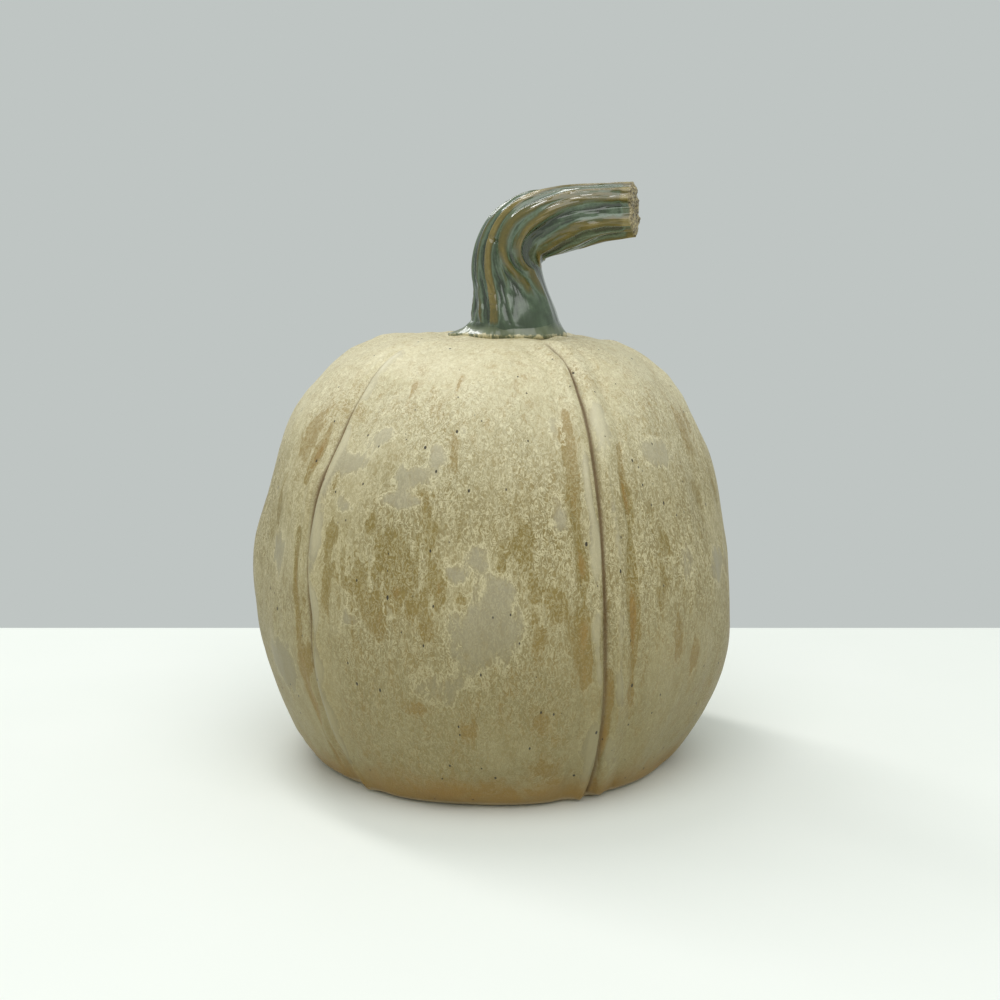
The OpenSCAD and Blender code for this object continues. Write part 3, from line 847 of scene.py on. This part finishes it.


# Satin cream glaze over a brown clay. Four tints that lighten with height, partly the glaze's own paler crown
# and partly painted shade darker towards the foot, are the plain glaze, its calm pools, the cream lace where
# it gathers and the ochre where it ran thin; random runs, worms and the marks choose between them.
def bodyGlaze():
    r = Recipe("creamRutileGlaze")
    amber, smooth, pale, crease, bare = [
        r.attribute(mark) for mark in ("amber", "smooth", "pale", "crease", "bare")]
    level = r.height()
    upper, crown = r.ramp(level, 0.030, 0.080), r.ramp(level, 0.082, 0.128)  # levels are in metres

    # a glaze's three tints blended by height, darker towards the foot partly as painted shade
    def glazeAndPaintedShadeByHeight(key):
        foot, belly, top = [tint(shade) for shade in creamTints[key]]
        return r.blend(crown, r.blend(upper, foot, belly), top)
    plain, quiet, cream, ochre = [glazeAndPaintedShadeByHeight(key) for key in ("plain", "quiet", "cream", "ochre")]

    broad, cloud, run, streak, fine, grain = [r.noise(*values) for values in creamNoises.values()]
    paleWorm = r.line(r.noise(1.5, 1.9, 3, 0.66, 1.1, 13), 0.0, 0.065)
    darkWorm = r.line(r.noise(1.4, 2.1, 3, 0.66, 1.0, 17), 0.02, 0.06)

    # where the glaze lies calm, where it is sugary, where it ran thin and where it browns at the foot
    calmField = r.total(
        smooth, (run, 1.5), (fine, 0.8), (pale, 0.9), (broad, 0.5), (amber, -0.3), (streak, 0.4))
    calm = r.ramp(calmField, 0.24, 0.66)
    rough = r.math("SUBTRACT", 1.0, r.math("MULTIPLY", calm, 0.72))
    patchy = r.total(0.0, (run, 0.8), (broad, -1.0))
    rough = r.math("MULTIPLY", rough, r.ramp(patchy, -0.25, 0.2, 0.5, 1.0))
    rough = r.math("MULTIPLY", rough, r.ramp(level, 0.015, 0.070, 0.6, 1.0))
    thinField = r.total(amber, (run, -1.2), (streak, 0.7), (fine, 0.5), (broad, -0.6), (pale, -0.7))
    thin = r.ramp(thinField, 0.04, 0.55)
    low = r.ramp(r.total(level, (run, 0.012), (fine, 0.005), (broad, 0.01)), 0.014, 0.001)

    # the plain ground, then the calm pools, the ochre runs and the cream lace laid over one another
    milky = r.ramp(r.total(0.0, (broad, 1.0), (run, 0.7)), -0.12, 0.22, 0.0, 0.3)
    colour = r.blend(milky, plain, cream)
    blotch = r.total(0.0, (cloud, 1.0), (run, 0.6), (fine, 0.35), (streak, 0.35))
    colour = r.blend(r.ramp(blotch, 0.04, 0.26, 0.0, 0.45), colour, ochre)
    colour = r.blend(r.math("MULTIPLY", calm, 0.85), colour, quiet)
    drift = r.ramp(r.total(0.5, (streak, 0.9), (run, -0.5), (fine, 0.7), (grain, 0.3)), 0.45, 0.85)
    colour = r.blend(r.math("MULTIPLY", r.math("MULTIPLY", drift, rough), 0.7), colour, ochre)
    colour = r.blend(r.math("MULTIPLY", thin, 0.9), colour, ochre)
    colour = r.blend(r.math("MULTIPLY", darkWorm, r.math("MULTIPLY", rough, 0.55)), colour, ochre)
    paleShare = r.math("MULTIPLY", rough, r.ramp(thin, 0.2, 0.9, 0.9, 0.45))
    colour = r.blend(r.math("MULTIPLY", paleWorm, paleShare), colour, cream)
    grainShare = r.math("MULTIPLY", r.ramp(grain, 0.02, 0.2), r.math("MULTIPLY", rough, 0.4))
    colour = r.blend(grainShare, colour, cream)
    edgeOfCalm = r.math("MULTIPLY", r.line(calmField, 0.36, 0.07), r.ramp(smooth, 0.05, 0.4, 0.4, 0.8))
    edgeOfThin = r.math("MULTIPLY", r.line(thinField, 0.30, 0.06), r.ramp(amber, 0.1, 0.4, 0.1, 0.5))
    colour = r.blend(r.math("MAXIMUM", edgeOfCalm, edgeOfThin), colour, cream)
    # raised ridges beside the grooves lightened towards cream: a painted highlight on them
    colour = r.blend(r.math("MULTIPLY", r.ramp(pale, 0.4, 0.9), 0.3), colour, cream)

    # the deepest amber, the foot's edge, the line in each crease, iron specks and the bare foot
    deep = r.ramp(r.total(amber, (fine, 0.6), (run, -0.8)), 0.9, 1.8, 0.0, 0.7)
    colour = r.blend(deep, colour, tint(creamTints["deep"]))
    colour = r.blend(r.math("MULTIPLY", low, 0.8), colour, tint(creamTints["low"]))
    inCrease = r.math("MULTIPLY", crease, r.ramp(level, 0.035, 0.065, 0.70, 0.95))
    colour = r.blend(inCrease, colour, tint(creamTints["crease"]))
    specks = r.math("MAXIMUM", r.dots(3.2, 0.30, 0.42), r.dots(2.4, 0.20, 0.3, 4.0))
    colour = r.blend(r.math("MULTIPLY", specks, 0.92), colour, tint(creamTints["speck"]))
    colour = r.blend(bare, colour, tint(creamTints["bare"]))

    sugar = r.total(0.0, (paleWorm, 0.35), (darkWorm, -0.35), (grain, 0.6))
    step = r.bump(r.total(0.0, (calm, 0.5), (thin, -0.8)), 0.14, 0.8)
    normal = r.bump(r.math("MULTIPLY", sugar, rough), 0.26, 0.8, step)
    r.set(Base_Color=colour, Roughness=r.total(0.46, (rough, 0.12), (thin, -0.08)), Normal=normal)
    r.set(IOR=1.5, Coat_Weight=0.05, Coat_Roughness=0.3)
    return r.material


# Running green glaze: pooled teal in the valleys, worn through olive to tan clay on the ribs, with darker
# strands along the pull, bare rough clay at the torn end and a cream line at the fillet's edge.
def greenGlaze(name):
    r = Recipe(name)
    crest, torn, nearTip, pool, edge, streak = [
        r.attribute(mark) for mark in ("crest", "torn", "nearTip", "pool", "edge", "streak")]
    cloud = r.noise(5, 1.6, 3, 0.6, 0.5)
    fine = r.noise(1.1, 1.0, 3, 0.65, 0.4, 3)
    grain = r.noise(0.8, 1.0, 2, 0.6, 0.0, 9)
    worn = r.total(0.04, (crest, 0.80), (streak, 0.10), (cloud, 0.40), (fine, 0.25), (nearTip, 0.30))
    colour = r.colours(worn, greenTints["worn"])
    still = r.colours(r.total(0.5, (cloud, 0.9), (streak, 0.08)), greenTints["pool"])
    colour = r.blend(r.math("MULTIPLY", pool, 0.85), colour, still)
    colour = r.blend(torn, colour, r.colours(r.total(0.5, (grain, 1.6)), greenTints["clay"]))
    thinned = r.ramp(r.total(edge, (cloud, 0.8)), 0.1, 0.7, 0.0, 0.55)
    colour = r.blend(thinned, colour, tint(greenTints["thinned"]))
    rim = r.ramp(r.total(edge, (cloud, 0.9), (fine, 0.5)), 0.90, 1.08)
    colour = r.blend(rim, colour, tint(greenTints["rim"]))
    rough = r.total(r.ramp(worn, 0.5, 1.0, 0.13, 0.26), (pool, 0.12), (torn, 0.6), (edge, 0.14))
    relief = r.total(0.0, (fine, 0.15), (r.math("MULTIPLY", grain, torn), 3.0))
    r.set(Base_Color=colour, Roughness=rough, Normal=r.bump(relief, 0.14, 0.6))
    r.set(IOR=1.55, Coat_Weight=0.5, Coat_Roughness=0.08)
    return r.material


# Unglazed stoneware: cloudy buff with darker grains and iron specks.
def bareClay():
    r = Recipe("bareStoneware")
    cloud = r.noise(14, 1.0, 3, 0.6, 0.3)
    grain = r.noise(0.6, 1.0, 3, 0.7, 0.0, 2)
    colour = r.colours(r.total(0.5, (cloud, 1.0), (grain, 0.7)), clayTints["mottle"])
    colour = r.blend(r.math("MULTIPLY", r.dots(4.0, 0.2, 0.5), 0.8), colour, tint(clayTints["speck"]))
    r.set(Base_Color=colour, Roughness=0.82, Normal=r.bump(grain, 0.12, 0.8))
    return r.material


bodyPiece.data.materials.append(bodyGlaze())
stemPiece.data.materials.append(greenGlaze("greenStemGlaze"))
collarPiece.data.materials.append(greenGlaze("filletGlaze"))
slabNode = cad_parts["floor_slab"]
slabNode.data.materials.clear()
slabNode.data.materials.append(bareClay())
print("materials made")


# The floor, the lights and the view, in metres, watts, radians and, for the lens, millimetres.
stage = {
    "width": 3.2, "front": -2.2, "back": 0.16, "thick": 0.06,
    "pale": (234, 237, 231), "palest": (238, 240, 235), "cloudSize": 60,
}
studio = {
    "sky": (191, 197, 195), "skyPower": 1.0,
    "topPower": 12.0, "topSize": 1.6, "topAt": (0.06, -0.75, 1.3),
    "windowPower": 3.8, "windowSize": (0.13, 0.9), "windowAt": (-0.38, 0.38, 1.02),
}
view = {"away": 0.4695, "rise": 0.1561, "aside": 0.0022, "tiltDown": 0.158, "lens": 54.0, "nearClip": 0.01}


# The floor: a box whose back edge makes the horizon.
def makeFloor():
    x0, x1 = -stage["width"] / 2, stage["width"] / 2
    y0, y1, z0 = stage["front"], stage["back"], -stage["thick"]
    corners = [(x, y, z) for z in (z0, 0) for x, y in ((x0, y0), (x1, y0), (x1, y1), (x0, y1))]
    faces = [(3, 2, 1, 0), (4, 5, 6, 7), (0, 1, 5, 4), (1, 2, 6, 5), (2, 3, 7, 6), (3, 0, 4, 7)]
    mesh = bpy.data.meshes.new("floor")
    mesh.from_pydata(corners, [], faces)
    floor = bpy.data.objects.new("floor", mesh)
    bpy.context.scene.collection.objects.link(floor)
    r = Recipe("paleFloor")
    cloud = r.total(0.5, (r.noise(stage["cloudSize"]), 1.0))
    r.set(Base_Color=r.blend(cloud, tint(stage["pale"]), tint(stage["palest"])))
    r.set(Roughness=0.9, Specular_IOR_Level=0.15)
    mesh.materials.append(r.material)


# A lamp with an area, aimed at a point: its own Z axis is turned to look away from it.
def makeLamp(name, shape, size, power, place, aim=(0, 0, 0.1)):
    lamp = bpy.data.lights.new(name, "AREA")
    lamp.shape = shape
    lamp.size, lamp.size_y = size
    lamp.energy = power
    lampObject = bpy.data.objects.new(name, lamp)
    lampObject.location = place
    away = mathutils.Vector(place) - mathutils.Vector(aim)
    lampObject.rotation_euler = away.to_track_quat("Z", "Y").to_euler()
    bpy.context.scene.collection.objects.link(lampObject)


# Light: an even pale surround, one wide lamp overhead and a narrow bright one that draws the glaze's
# highlights.
def makeLight():
    world = bpy.data.worlds.new("paleSurround")
    bpy.context.scene.world = world
    world.use_nodes = True
    background = world.node_tree.nodes["Background"]
    background.inputs["Color"].default_value = tint(studio["sky"])
    background.inputs["Strength"].default_value = studio["skyPower"]
    makeLamp("softTop", "DISK", (studio["topSize"],) * 2, studio["topPower"], studio["topAt"])
    makeLamp(
        "narrowWindow", "RECTANGLE", studio["windowSize"], studio["windowPower"], studio["windowAt"])


# Camera: level aside from a tilt down, at a given distance and height.
def makeCamera():
    lens = bpy.data.cameras.new("camera")
    lens.lens = view["lens"]
    lens.clip_start = view["nearClip"]
    camera = bpy.data.objects.new("camera", lens)
    camera.location = (view["aside"], -view["away"], view["rise"])
    camera.rotation_euler = (math.pi / 2 - view["tiltDown"], 0, 0)
    bpy.context.scene.collection.objects.link(camera)
    bpy.context.scene.camera = camera


makeFloor()
makeLight()
makeCamera()
bpy.context.scene.view_settings.view_transform = "Standard"
print("stage, light and camera made")
